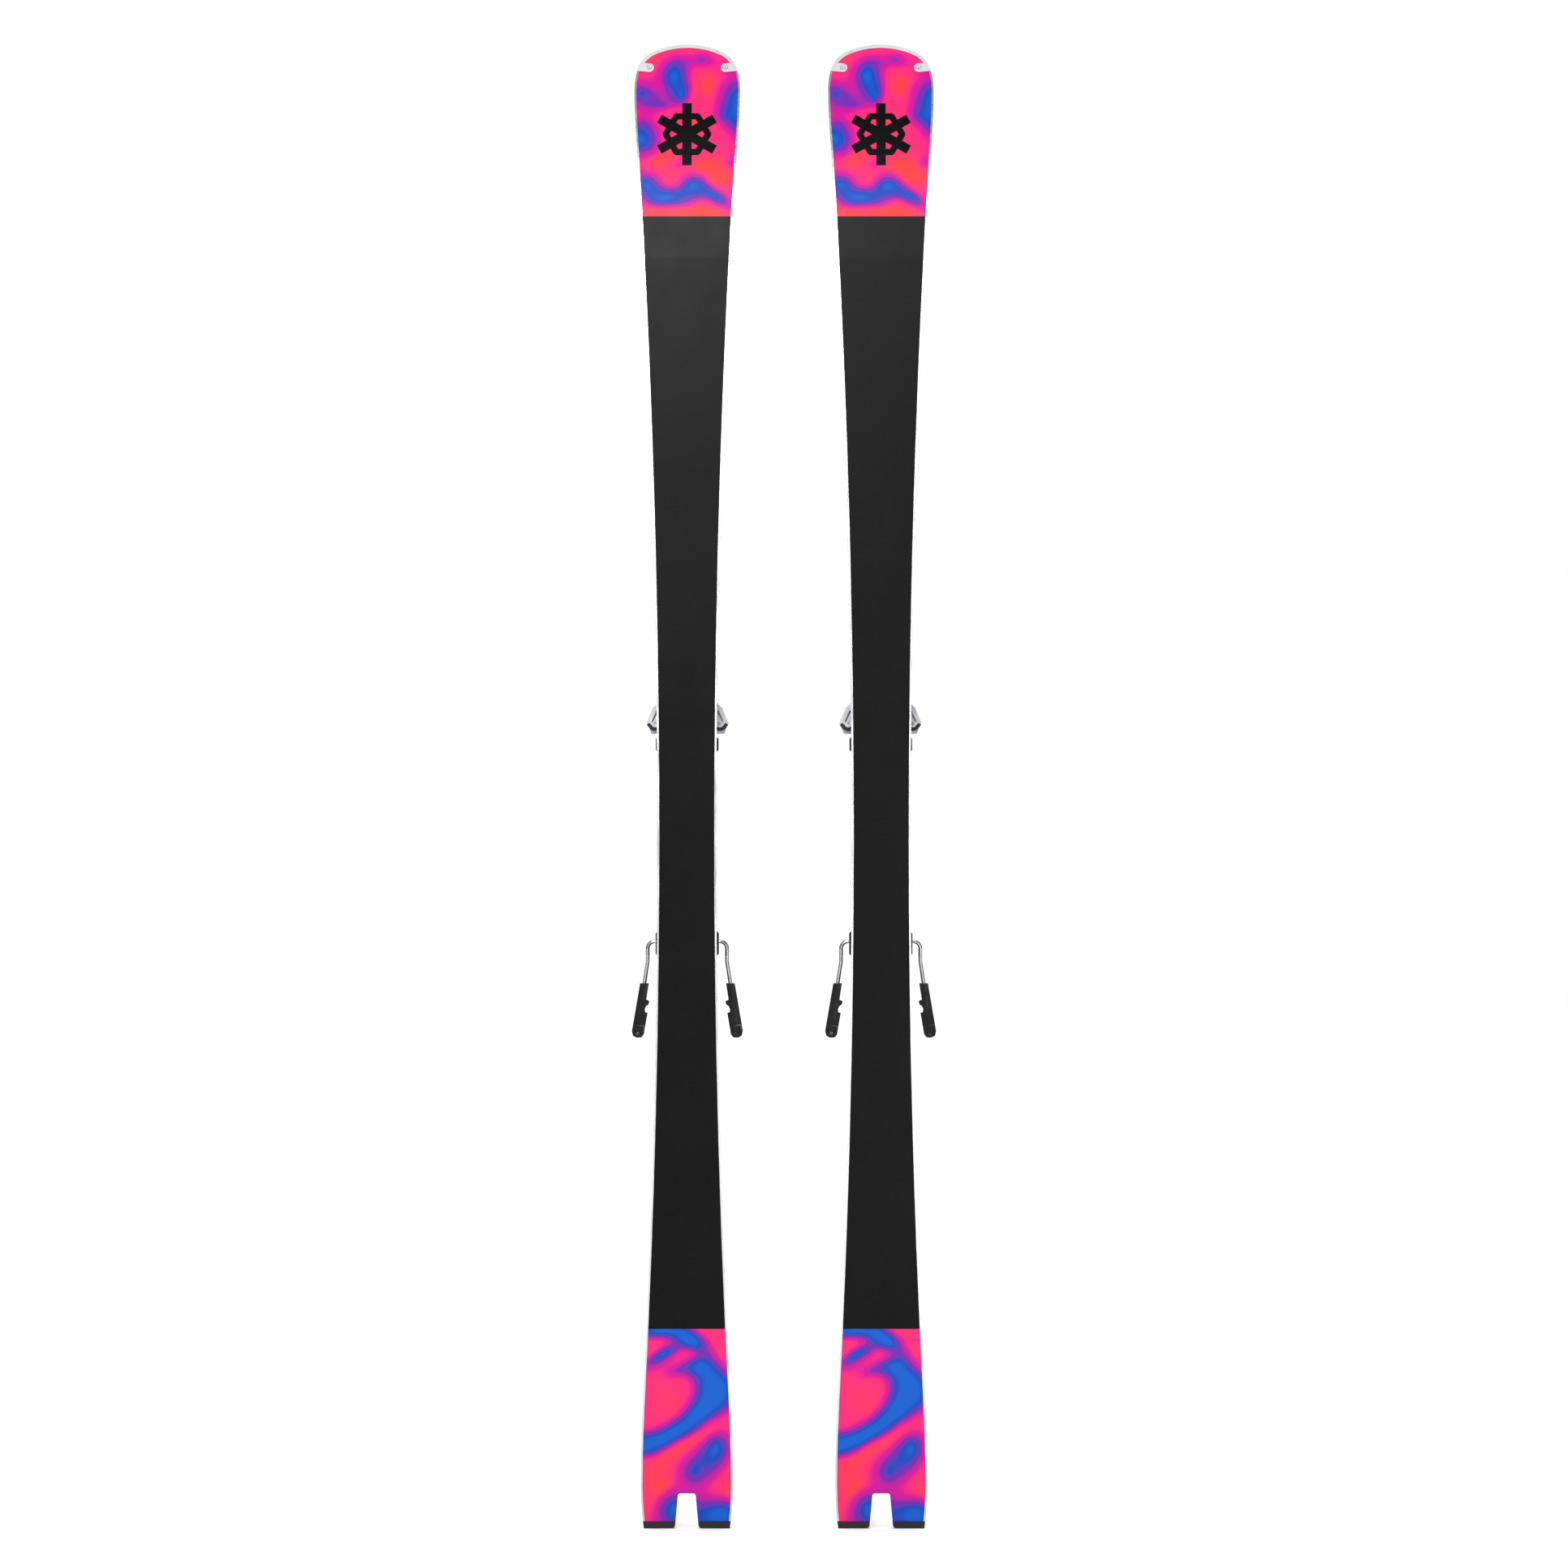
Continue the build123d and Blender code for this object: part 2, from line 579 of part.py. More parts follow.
with BuildPart() as heel_housing:
    with BuildSketch(Plane.YZ):
        with BuildLine():
            Polyline(
                (FOOT_LOW, HEEL_Z[0] + 2),
                (FOOT_LOW, HEEL_Z[1]),
                (HEEL_FOOT_TOP - 3, HEEL_Z[1]),
                (HEEL_FOOT_TOP, HEEL_Z[1] - 8),
                (HEEL_FOOT_TOP, 560),
                (pivot_y + HEEL_ROUND, 556),
                (pivot_y + 22, 530),
                (pivot_y + 19, 503),
                (pivot_y + 14, HEEL_Z[0]),
                (HEEL_FOOT_TOP - 4, HEEL_Z[0]),
                close=True,
            )
        make_face()
        with Locations((pivot_y, pivot_z)):
            Circle(HEEL_ROUND)
        with Locations((FOOT_LOW - 10, pivot_z)):
            Rectangle(20, 80, mode=Mode.SUBTRACT)
    extrude(amount=HEEL_HALF, both=True)
    with BuildSketch(plan(FOOT_LOW)):
        with Locations((0, (HEEL_Z[0] + HEEL_Z[1]) / 2)):
            RectangleRounded(2 * FOOT_HALF, HEEL_Z[1] - HEEL_Z[0], 6)
    extrude(amount=-(HEEL_FOOT_TOP - FOOT_LOW - 3))
    # T-slot that runs on the rail
    with BuildSketch(Plane.XY.offset(HEEL_Z[0] - 1)):
        for half, low, high in (
            (RAIL_NECK, RAIL_Y[0] - 1, RAIL_Y[1]),
            (RAIL_HALF, RAIL_Y[1], RAIL_Y[2]),
        ):
            with Locations((0, (low + high) / 2)):
                Rectangle(2 * (half + RUN), high - low + 2 * RUN)
    extrude(amount=HEEL_Z[1] - HEEL_Z[0] + 2, mode=Mode.SUBTRACT)
    # spring bore, open at the back for the release screw
    with BuildSketch(Plane.XY.offset(HEEL_Z[0] - 1)):
        with Locations((0, HEEL_AXIS_Y)):
            Circle(HEEL_BORE_R)
    extrude(amount=60, mode=Mode.SUBTRACT)
    for way in (-1, 1):
        with BuildSketch(Plane.YZ.offset(way * PIN_IN_X)):
            with Locations((pivot_y, pivot_z)):
                Circle(PIN_R)
        extrude(amount=way * 10, mode=Mode.SUBTRACT)
save("heel_housing", heel_housing.part)

LEVER_X = HEEL_HALF + 0.4 + CHEEK + 0.4
PIN_END_X = LEVER_X + CHEEK + 0.6
with BuildPart() as heel_pins:
    for way in (-1, 1):
        with BuildSketch(Plane.YZ.offset(way * PIN_IN_X)):
            with Locations((pivot_y, pivot_z)):
                Circle(PIN_R)
        extrude(amount=way * (PIN_END_X - PIN_IN_X))
        with BuildSketch(Plane.YZ.offset(way * PIN_END_X)):
            with Locations((pivot_y, pivot_z)):
                Circle(PIN_R + 1.8)
        extrude(amount=way * 1.6)
save("heel_pins", heel_pins.part)

save("heel_spring", coil_spring(512, 555, HEEL_AXIS_Y, HEEL_BORE_R - 0.4, 1.8, 7))
HEEL_SCREW_Z = (498.8, 511.0)
heel_screw = release_screw(*HEEL_SCREW_Z, HEEL_AXIS_Y, HEEL_BORE_R - PIN_FIT, HEEL_SCREW_Z[0])
save("heel_release_screw", heel_screw)

CUP_HALF, CUP_HOLLOW_R = 31.0, 36.0
CLAW_Y = (76.0, 81.0)
with BuildPart() as heel_cup:
    with BuildSketch(Plane.YZ):
        with BuildLine():
            Polyline(
                (43.5, 586),
                (42.5, 614),
                (SOLE, 616),
                (SOLE + 1, 609),
                (CLAW_Y[0] - 4, 609),
                (CLAW_Y[0], 613),
                (CLAW_Y[1] - 1, 613),
                (CLAW_Y[1], 604),
                (CLAW_Y[1] - 3, 588),
                (70, 578),
                (60, 572),
                close=True,
            )
        make_face()
    extrude(amount=CUP_HALF, both=True)
    # hollow that the back of the boot sits in, under the claw and above the tread
    with BuildSketch(plan(SOLE)):
        with Locations((0, BOOT_HEEL_Z + CUP_HOLLOW_R)):
            Circle(CUP_HOLLOW_R)
    extrude(amount=SOLE - CLAW_Y[0], mode=Mode.SUBTRACT)
    with BuildSketch(Plane.YZ):
        with Locations((pivot_y, pivot_z)):
            Circle(HEEL_ROUND + 0.5)
    extrude(amount=CUP_HALF + 1, both=True, mode=Mode.SUBTRACT)
    cheek_mid = HEEL_HALF + 0.4 + CHEEK / 2
    for way in (-1, 1):
        with BuildSketch(Plane.YZ.offset(way * cheek_mid)):
            with BuildLine():
                Polyline((44.5, 590), (42.5, 562), (57, 558), (74, 576), (72, 592), close=True)
            make_face()
            with Locations((pivot_y, pivot_z)):
                Circle(8.5)
                Circle(PIN_R + PIN_FIT, mode=Mode.SUBTRACT)
        extrude(amount=CHEEK / 2, both=True)
save("heel_cup", heel_cup.part)

with BuildPart() as heel_lever:
    lever_plane = Plane(
        origin=(0, pivot_y, pivot_z),
        x_dir=(0, math.sin(math.radians(LEVER_ANGLE)), math.cos(math.radians(LEVER_ANGLE))),
        z_dir=(1, 0, 0),
    )
    reach_in, reach_out = LEVER_REACH
    for way in (-1, 1):
        with BuildSketch(lever_plane.offset(way * (LEVER_X + CHEEK / 2))):
            with BuildLine():
                Polyline(
                    (0, 8.5),
                    (34, 6.5),
                    (reach_out, 5),
                    (reach_out, -5),
                    (34, -5.5),
                    (0, -8.5),
                    close=True,
                )
            make_face()
            Circle(8.5)
            Circle(PIN_R + PIN_FIT, mode=Mode.SUBTRACT)
        extrude(amount=CHEEK / 2, both=True)
    # cross bar that the ski pole pushes on
    with BuildSketch(lever_plane):
        with Locations(((reach_in + reach_out) / 2, 0)):
            Rectangle(reach_out - reach_in, 10)
    extrude(amount=LEVER_X + CHEEK, both=True)
save("heel_lever", heel_lever.part)

# ---------------------------------------------------------------- brake
BRAKE_TOP = 43.5
HUB_R, HUB_HALF = 5.6, 21.0
brake_y, brake_z = BRAKE_PIVOT

with BuildPart() as brake_housing:
    with BuildSketch(plan(PLATE_TOP)) as brake_outline:
        with Locations((0, sum(BRAKE_Z) / 2)):
            Rectangle(2 * BRAKE_SIDE, BRAKE_Z[1] - BRAKE_Z[0])
        chamfer(brake_outline.vertices(), length=3)
    extrude(amount=PLATE_TOP - BRAKE_TOP)
    with BuildSketch(plan(PLATE_TOP + 3)):
        with Locations((0, brake_z + 4)):
            Rectangle(2 * (HUB_HALF + RUN), 24)
    extrude(amount=-20, mode=Mode.SUBTRACT)
    with BuildSketch(Plane.YZ):
        with Locations((brake_y, brake_z)):
            Circle(WIRE_R + PIN_FIT)
    extrude(amount=BRAKE_SIDE + 1, both=True, mode=Mode.SUBTRACT)
save("brake_housing", brake_housing.part)

ARM_BEND_R = 8.0
wire_points = [
    (0, brake_y, brake_z),
    (ARM_X, brake_y, brake_z),
    (ARM_X, brake_y + 0.8, 645),
    (49.4, FOOT_Y - 2, 620),
    (54.5, FOOT_Y, 583),
]
with BuildPart() as brake_arms:
    with BuildLine():
        half_wire = FilletPolyline(*wire_points, radius=(ARM_BEND_R, 12, 25))
    with BuildSketch(Plane(origin=half_wire @ 0, z_dir=half_wire % 0)):
        Circle(WIRE_R)
    sweep(path=half_wire)
    mirror(about=Plane.YZ)
save("brake_arms", brake_arms.part)

PEDAL_Z = (676.0, 724.0)
PEDAL_Y = (41.5, SOLE)
with BuildPart() as brake_pedal:
    with BuildSketch(Plane.YZ):
        with Locations((brake_y, brake_z)):
            Circle(HUB_R)
        with BuildLine():
            Polyline(
                (brake_y + 1, brake_z),
                (PEDAL_Y[0], PEDAL_Z[0] + 6),
                (PEDAL_Y[0], PEDAL_Z[1]),
                (PEDAL_Y[1] - 1, PEDAL_Z[1]),
                (PEDAL_Y[1], PEDAL_Z[1] - 3),
                (PEDAL_Y[1], PEDAL_Z[0]),
                (brake_y + HUB_R, brake_z - 1),
                close=True,
            )
        make_face()
    extrude(amount=HUB_HALF, both=True)
    with BuildSketch(Plane.YZ):
        with Locations((brake_y, brake_z)):
            Circle(WIRE_R)
    extrude(amount=HUB_HALF + 1, both=True, mode=Mode.SUBTRACT)
    with BuildSketch(plan(PEDAL_Y[1])):
        with Locations((0, 704)):
            with GridLocations(0, 6, 1, 5):
                SlotOverall(34, 2.4)
    extrude(amount=-0.8)
save("brake_pedal", brake_pedal.part)

FOOT_THICK = 12.0
with BuildSketch() as foot_outline:
    with BuildLine():
        Polyline(
            (44.5, 620.5),
            (54.3, 620.5),
            (63.7, 566),
            (62.6, 560.6),
            (58.4, 558.3),
            (53, 558.4),
            (50, 562),
            (45.9, 586.4),
            (48.7, 587.2),
            (48.9, 591),
            (47.4, 594.6),
            (44.6, 596.4),
            (43.8, 600),
            (47.4, 601.6),
            close=True,
        )
    make_face()
    fillet([v for v in foot_outline.vertices() if v.Y < 567], radius=2.2)
    fillet([v for v in foot_outline.vertices() if 594 < v.Y < 601 and v.X < 48], radius=1)

with BuildPart() as brake_feet:
    with BuildSketch(plan(FOOT_Y - FOOT_THICK / 2)):
        add(foot_outline.sketch)
    extrude(amount=-FOOT_THICK)
    chamfer(brake_feet.faces().sort_by(Axis.Y)[0].edges(), length=0.6)
    chamfer(brake_feet.faces().sort_by(Axis.Y)[-1].edges(), length=0.6)
    # recess and seam of the end cap
    with BuildSketch(plan(FOOT_Y - FOOT_THICK / 2)):
        with Locations((56.6, 565.8)):
            Circle(3.6)
        with Locations((55.6, 573.3)):
            Rectangle(16, 0.8, rotation=9)
    extrude(amount=-0.9, mode=Mode.SUBTRACT)
    mirror(about=Plane.YZ)
    add(brake_arms.part, mode=Mode.SUBTRACT)
save("brake_feet", brake_feet.part)
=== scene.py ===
import bmesh
import bpy
import json
import math
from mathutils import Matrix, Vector
from mathutils.bvhtree import BVHTree


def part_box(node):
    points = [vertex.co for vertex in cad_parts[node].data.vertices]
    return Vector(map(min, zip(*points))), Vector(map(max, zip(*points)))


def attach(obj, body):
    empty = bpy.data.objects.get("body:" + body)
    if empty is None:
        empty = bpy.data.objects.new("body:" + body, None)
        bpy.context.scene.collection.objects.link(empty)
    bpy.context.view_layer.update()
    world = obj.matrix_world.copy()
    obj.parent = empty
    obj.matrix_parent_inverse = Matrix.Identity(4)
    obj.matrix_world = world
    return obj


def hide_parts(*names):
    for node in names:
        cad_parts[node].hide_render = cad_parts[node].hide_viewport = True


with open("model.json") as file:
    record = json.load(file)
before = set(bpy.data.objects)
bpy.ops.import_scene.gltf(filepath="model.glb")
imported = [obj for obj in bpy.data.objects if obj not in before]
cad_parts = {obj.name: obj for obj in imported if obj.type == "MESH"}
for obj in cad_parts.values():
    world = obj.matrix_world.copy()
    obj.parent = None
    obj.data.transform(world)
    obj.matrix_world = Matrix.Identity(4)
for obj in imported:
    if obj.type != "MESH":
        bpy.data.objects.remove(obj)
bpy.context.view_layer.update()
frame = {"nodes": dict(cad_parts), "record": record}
NODES = frame["nodes"]
SIDES = ("left", "right")


def centre_x(side):
    """The place of a ski's centre plane across the pair."""
    low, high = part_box(f"{side}_topsheet")
    return (low.x + high.x) / 2


SKI_X = {side: centre_x(side) for side in SIDES}
BODIES = frame["record"]["behaviour"]["bodies"]
BODY_OF = {node: body for body, nodes in BODIES.items() for node in nodes}
MM = 0.001
UP, TIPWARD = (0, 1, 0), (0, 0, 1)  # away from the base, and towards the ski's tip

# ------------------------------------------------------------------ node helpers


class Shader:
    """A Principled material, with short calls for the nodes that feed it."""

    def __init__(self, name, **values):
        self.material = bpy.data.materials.new(name)
        self.material.use_nodes = True
        self.tree = self.material.node_tree
        self.surface = self.tree.nodes["Principled BSDF"]
        for socket, value in values.items():
            self.surface.inputs[socket.replace("_", " ")].default_value = value
        self.place = self.node("ShaderNodeTexCoord").outputs["Object"]

    def node(self, kind, inputs=(), **settings):
        made = self.tree.nodes.new(kind)
        for key, value in settings.items():
            setattr(made, key, value)
        for key, value in dict(inputs).items():
            self.feed(made.inputs[key], value)
        return made

    def feed(self, socket, value):
        if isinstance(value, bpy.types.NodeSocket):
            self.tree.links.new(value, socket)
        else:
            socket.default_value = value

    def put(self, name, value):
        self.feed(self.surface.inputs[name], value)

    def math(self, operation, a, b=0.0, c=0.0):
        return self.node("ShaderNodeMath", {0: a, 1: b, 2: c}, operation=operation).outputs[0]

    def split(self, vector):
        return self.node("ShaderNodeSeparateXYZ", {0: vector}).outputs

    def scaled(self, scale, place=None):
        """The place, stretched by a factor along each axis."""
        inputs = {0: place or self.place, 1: scale}
        return self.node("ShaderNodeVectorMath", inputs, operation="MULTIPLY").outputs[0]

    def noise(self, scale, detail=3.0, roughness=0.5, place=None):
        inputs = {"Vector": place or self.place, "Scale": scale, "Detail": detail}
        inputs["Roughness"] = roughness
        return self.node("ShaderNodeTexNoise", inputs).outputs["Fac"]

    def range(self, value, low, high, to_low=0.0, to_high=1.0, smooth=False):
        made = self.node(
            "ShaderNodeMapRange",
            {0: value, 1: low, 2: high, 3: to_low, 4: to_high},
            interpolation_type="SMOOTHSTEP" if smooth else "LINEAR",
        )
        return made.outputs[0]

    def mix(self, factor, a, b):
        made = self.node("ShaderNodeMix", data_type="RGBA")
        self.feed(made.inputs["Factor"], factor)
        self.feed(made.inputs["A"], a)
        self.feed(made.inputs["B"], b)
        return made.outputs["Result"]

    def ramp(self, value, stops):
        made = self.node("ShaderNodeValToRGB", {0: value})
        made.color_ramp.interpolation = "EASE"
        elements = made.color_ramp.elements
        while len(elements) < len(stops):
            elements.new(0.5)
        for element, (position, colour) in zip(elements, stops):
            element.position, element.color = position, colour
        return made.outputs[0]

    def bump(self, height, strength, distance, after=None):
        inputs = {"Height": height, "Strength": strength, "Distance": distance}
        if after:
            inputs["Normal"] = after
        return self.node("ShaderNodeBump", inputs).outputs[0]


def rgb(red, green, blue):
    """A colour given as screen values from 0 to 255, as the linear colour that a shader takes."""
    linear = [
        (v / 255 / 12.92) if v <= 10 else ((v / 255 + 0.055) / 1.055) ** 2.4
        for v in (red, green, blue)
    ]
    return (*linear, 1.0)


def toned(colour, factor, lift=0.0):
    """A colour made lighter or darker by a factor."""
    return [c * factor + lift for c in colour[:3]] + [1.0]


# ------------------------------------------------------------------ materials
SPAN = (0.3, 0.7)  # the part of a noise's values that is spread over a look's whole range


def moulded(name, colour, roughness=0.42, grain=0.5, specular=0.5):
    """Injection-moulded plastic: fine spark-eroded grain, faint flow clouds and handling marks."""
    s = Shader(name, Roughness=roughness)
    s.put("Specular IOR Level", specular)
    cloud = s.noise(18.0, 3.0)
    fine = s.noise(2600.0, 2.0)
    scuff = s.noise(90.0, 6.0, 0.7)
    s.put("Base Color", s.mix(s.range(cloud, *SPAN), toned(colour, 0.92), toned(colour, 1.06)))
    s.put("Roughness", s.range(scuff, 0.35, 0.75, roughness - 0.07, roughness + 0.1))
    s.put("Normal", s.bump(fine, grain, 0.02 * MM, s.bump(scuff, 0.06, 0.03 * MM)))
    return s.material


def metal(name, colour, roughness, stretch, scratch=0.25):
    """Bare metal with drawn or ground lines along one direction, and a little tarnish."""
    s = Shader(name, Metallic=1.0, Roughness=roughness)
    lines = s.noise(1.0, 4.0, 0.6, s.scaled(stretch))
    tarnish = s.noise(35.0, 4.0)
    s.put("Base Color", s.mix(s.range(tarnish, 0.35, 0.8, 0.0, 0.5), colour, toned(colour, 0.72)))
    s.put("Roughness", s.range(lines, *SPAN, roughness - 0.06, roughness + 0.12))
    s.put("Normal", s.bump(lines, scratch, 0.03 * MM))
    return s.material


def rubber(name, colour):
    """Matt rubber, greyed where it is worn."""
    s = Shader(name, Roughness=0.62)
    s.put("Specular IOR Level", 0.35)
    grain = s.noise(1400.0, 3.0)
    worn = s.noise(60.0, 5.0, 0.65)
    s.put("Base Color", s.mix(s.range(worn, 0.4, 0.75), colour, toned(colour, 2.2, 0.01)))
    s.put("Roughness", s.range(worn, 0.3, 0.8, 0.52, 0.78))
    s.put("Normal", s.bump(grain, 0.5, 0.05 * MM))
    return s.material


def structure_grind(s):
    """The fine lengthwise lines that a stone grinds into a running base."""
    lines = s.noise(1.0, 3.0, 0.65, s.scaled((3200.0, 40.0, 22.0)))
    return s.bump(lines, 0.06, 0.015 * MM)


def running_base(name):
    """Black sintered polyethylene with a low, soft shine."""
    s = Shader(name, Roughness=0.3)
    s.put("Specular IOR Level", 0.075)
    cloud = s.noise(7.0, 4.0)
    s.put("Base Color", s.mix(s.range(cloud, *SPAN), rgb(4, 4, 5), rgb(8, 8, 9)))
    s.put("Roughness", s.range(s.noise(30.0, 5.0), *SPAN, 0.28, 0.33))
    s.put("Normal", structure_grind(s))
    return s.material


INK_GAIN = 0.68


def ink(red, green, blue):
    """A printing ink: a screen colour, darkened so that it comes out as itself under the lamps."""
    return toned(rgb(red, green, blue), INK_GAIN)


PINK, ORANGE = ink(255, 44, 122), ink(255, 66, 62)
MAGENTA, VIOLET = ink(212, 18, 156), ink(120, 44, 176)
BLUE, LIGHT_BLUE = ink(28, 74, 192), ink(16, 98, 208)

# Blots of the printed marbling, each (across, along, half-width, half-length, turn, strength).
# Across is measured from the ski's centre line and along from its tail end, in millimetres. A turn,
# in degrees, leans the blot's long way from "across" towards the tip.
TIP_BLUE = [
    (-18, 1664, 30, 34, 0, 1.15),
    (-7, 1644, 22, 26, 0, 0.8),
    (20, 1676, 46, 18, -6, 0.55),
    (-54, 1640, 34, 30, 10, 0.75),
    (-32, 1630, 34, 20, 0, 0.45),
    (60, 1634, 34, 44, -6, 1.3),
    (60, 1600, 30, 40, 0, 0.75),
    (44, 1612, 30, 26, 0, 0.4),
    (-56, 1583, 34, 28, 0, 1.25),
    (-48, 1604, 30, 30, 0, 0.4),
    (-44, 1534, 36, 24, -36, 1.05),
    (-20, 1515, 42, 20, -6, 1.1),
    (6, 1530, 30, 24, 40, 0.95),
    (32, 1518, 42, 18, -26, 1.0),
    (50, 1560, 30, 26, 0, 0.35),
    (-10, 1556, 30, 22, 0, 0.3),
]
TIP_ORANGE = [
    (26, 1547, 62, 30, 10, 1.7),
    (14, 1498, 66, 16, 0, 1.3),
    (-38, 1500, 40, 14, 0, 0.9),
    (-34, 1566, 40, 26, 20, 1.0),
    (28, 1650, 40, 30, 0, 0.9),
    (6, 1600, 44, 30, 0, 0.9),
    (-38, 1652, 20, 24, 30, 0.9),
    (-48, 1684, 34, 20, 0, 0.7),
]
TAIL_BLUE = [
    (-34, 223, 60, 20, -3, 1.25),
    (6, 218, 48, 19, -28, 1.1),
    (-26, 193, 46, 15, 38, 1.05),
    (19, 184, 30, 26, 0, 1.2),
    (-8, 180, 40, 14, 24, 0.5),
    (36, 162, 38, 40, -10, 1.25),
    (12, 138, 60, 27, 36, 1.35),
    (-26, 108, 60, 23, 28, 1.3),
    (-54, 96, 34, 24, 10, 1.0),
    (36, 90, 28, 40, -26, 1.1),
    (10, 64, 34, 46, -35, 0.8),
    (-16, 14, 40, 34, 20, 1.2),
    (34, 12, 50, 38, 0, 1.45),
    (-52, 148, 16, 34, 0, 0.7),
]
TAIL_ORANGE = [
    (-22, 150, 40, 46, 10, 0.5),
    (-6, 90, 80, 16, 32, 0.7),
    (-32, 40, 50, 60, 0, 0.9),
    (40, 200, 30, 20, 0, 0.6),
    (48, 46, 26, 34, 0, 0.7),
]

SPREAD = 1.22 * MM  # metres of blot for each millimetre in the lists above
WARP_SCALE, WARP_REACH = 15.0, 0.028  # the swirls' noise, and how many metres it moves the blots
WARP_SOFTNESS = {"Detail": 0.4, "Roughness": 0.4}
# The spans of blot strength over which the inks run into each other
WARM_EDGE, COOL_EDGE, COOL_SPAN = (0.05, 0.9), (0.02, 0.36), (0.06, 1.12)
COOL_STOPS = [(0.0, PINK), (0.25, MAGENTA), (0.46, VIOLET), (0.68, BLUE), (1.0, LIGHT_BLUE)]
PRINT_PARTING_Z = 0.8  # above it lies the tip's print, and below it the tail's


def blots(s, place, spots):
    """How strongly a set of soft blots covers each point, as one number."""
    total = 0.0
    for across, along, wide, long, turn, strength in spots:
        local = s.node(
            "ShaderNodeMapping",
            {
                "Vector": place,
                "Location": (across * MM, 0.0, along * MM),
                "Rotation": (0.0, -math.radians(turn), 0.0),
                "Scale": (wide * SPREAD, 1.0, long * SPREAD),
            },
            vector_type="TEXTURE",
        )
        middle = {0: local.outputs[0]}
        ball = s.node("ShaderNodeTexGradient", middle, gradient_type="QUADRATIC_SPHERE")
        total = s.math("MULTIPLY_ADD", ball.outputs["Fac"], strength, total)
    return total


def marbled(s, middle_x, blue_spots, orange_spots):
    """Pink, orange and blue inks that run into each other."""
    x, _, z = s.split(s.place)
    across = s.math("SUBTRACT", x, middle_x)
    flat = s.node("ShaderNodeCombineXYZ", {0: across, 1: 0.0, 2: z}).outputs[0]
    warp = s.node(
        "ShaderNodeTexNoise",
        {"Vector": s.scaled((1.0, 1.0, 0.8), flat), "Scale": WARP_SCALE, **WARP_SOFTNESS},
    ).outputs["Color"]
    centred = {0: warp, 1: (0.5, 0.5, 0.5)}
    push = s.node("ShaderNodeVectorMath", centred, operation="SUBTRACT").outputs[0]
    reach = {0: push, 1: (WARP_REACH, 0.0, WARP_REACH), 2: flat}
    pushed = s.node("ShaderNodeVectorMath", reach, operation="MULTIPLY_ADD").outputs[0]
    blue = blots(s, pushed, blue_spots)
    orange = blots(s, pushed, orange_spots)
    warm = s.mix(s.range(orange, *WARM_EDGE, smooth=True), PINK, ORANGE)
    cool = s.ramp(s.range(blue, *COOL_SPAN), COOL_STOPS)
    return s.mix(s.range(blue, *COOL_EDGE, smooth=True), warm, cool)


def printed_ends(s, middle_x, z):
    """The marbling of the tip above the parting height, and the tail's below it."""
    tip = marbled(s, middle_x, TIP_BLUE, TIP_ORANGE)
    tail = marbled(s, middle_x, TAIL_BLUE, TAIL_ORANGE)
    return s.mix(s.math("GREATER_THAN", z, PRINT_PARTING_Z), tail, tip)


def printed_base(name, middle_x):
    """The printed part of the running base, with the same ground lines as the black part."""
    s = Shader(name, Roughness=0.3)
    s.put("Specular IOR Level", 0.1)
    s.put("Base Color", printed_ends(s, middle_x, s.split(s.place)[2]))
    s.put("Roughness", s.range(s.noise(30.0, 5.0), *SPAN, 0.28, 0.35))
    s.put("Normal", structure_grind(s))
    return s.material


CHEVRON_TIP, CHEVRON_TAIL, CHEVRON_LEAN = 1.53, 0.19, 0.9
LINE_BLACK = rgb(16, 16, 18)
# Lines along the chevrons, each (start past the chevron, width, colour), in millimetres
CHEVRON_LINES = ((-4, 4, LINE_BLACK), (-12, 4, PINK), (-19, 2, LINE_BLACK))


def top_sheet(name, middle_x):
    """White lacquered top sheet: the base's marbling at both ends, closed off by chevron lines."""
    s = Shader(name, Roughness=0.22)
    s.put("Coat Weight", 0.3)
    s.put("Coat Roughness", 0.12)
    x, _, z = s.split(s.place)
    print_ink = printed_ends(s, middle_x, z)
    away = s.math("ABSOLUTE", s.math("SUBTRACT", x, middle_x))
    past_tip = s.math("SUBTRACT", s.math("MULTIPLY_ADD", away, CHEVRON_LEAN, z), CHEVRON_TIP)
    low_z = s.math("MULTIPLY_ADD", away, -CHEVRON_LEAN, z)
    past_tail = s.math("SUBTRACT", CHEVRON_TAIL, low_z)
    past = s.math("MAXIMUM", past_tip, past_tail)
    cloud = s.range(s.noise(9.0, 3.0), *SPAN)
    white = s.mix(cloud, rgb(198, 199, 203), rgb(207, 208, 211))
    colour = s.mix(s.math("GREATER_THAN", past, 0.0), white, print_ink)
    for start, wide, line in CHEVRON_LINES:
        middle = (start + wide / 2) * MM
        gap = s.math("ABSOLUTE", s.math("SUBTRACT", past, middle))
        close = s.math("LESS_THAN", gap, wide / 2 * MM)
        colour = s.mix(close, colour, line)
    s.put("Base Color", colour)
    s.put("Roughness", s.range(s.noise(40.0, 5.0, 0.6), 0.3, 0.75, 0.2, 0.27))
    s.put("Normal", s.bump(s.noise(900.0, 2.0), 0.12, 0.02 * MM))
    return s.material


def wood(name):
    """Long-grained core wood."""
    s = Shader(name, Roughness=0.6)
    rings = s.noise(1.0, 6.0, 0.6, s.scaled((900.0, 500.0, 12.0)))
    s.put("Base Color", s.mix(s.range(rings, *SPAN), rgb(176, 132, 84), rgb(214, 178, 128)))
    s.put("Normal", s.bump(rings, 0.4, 0.05 * MM))
    return s.material


